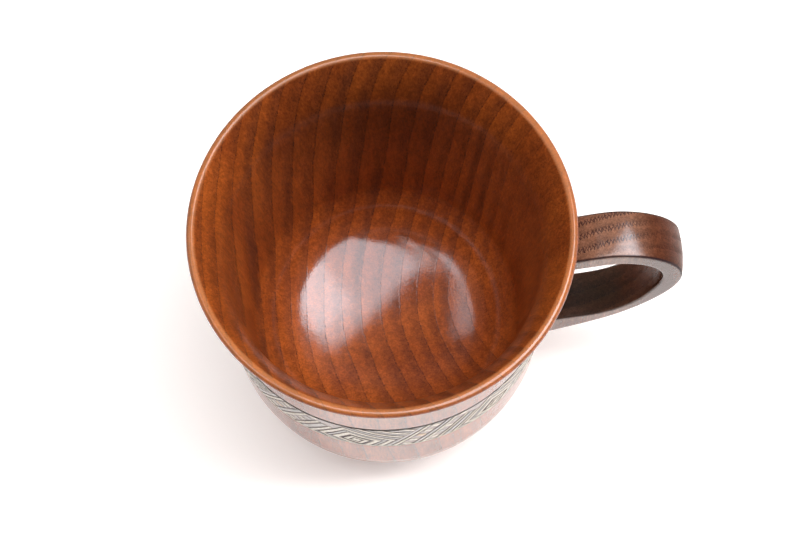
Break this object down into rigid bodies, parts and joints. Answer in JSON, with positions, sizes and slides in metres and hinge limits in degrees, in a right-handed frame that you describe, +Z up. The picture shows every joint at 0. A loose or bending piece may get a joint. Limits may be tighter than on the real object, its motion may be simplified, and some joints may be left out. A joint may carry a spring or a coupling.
{
  "type": "wooden mug",
  "caption": "Turned wooden mug with a flared lip, an inlaid geometric band round its wall and a sawn D-shaped strap handle.",
  "frame": {"origin": "centre of the foot, on the cup's axis, in the plane that the cup stands on", "axes": "+Z up along the cup's axis, +X towards the handle"},
  "size_m": [0.1034, 0.08, 0.075],
  "materials": {
    "cup_wood": "glossy clear lacquer over dark reddish-brown ring-porous hardwood",
    "handle_wood": "glossy clear lacquer over brown ring-porous hardwood",
    "band_inlay": "satin lacquer over grey and cream patterned inlay",
    "dowel_wood": "plain unfinished hardwood"
  },
  "bodies": {
    "root": {"cup_body": "cup_wood", "handle": "handle_wood", "pattern_band": "band_inlay", "upper_dowel": "dowel_wood", "lower_dowel": "dowel_wood"}
  },
  "joints": []
}
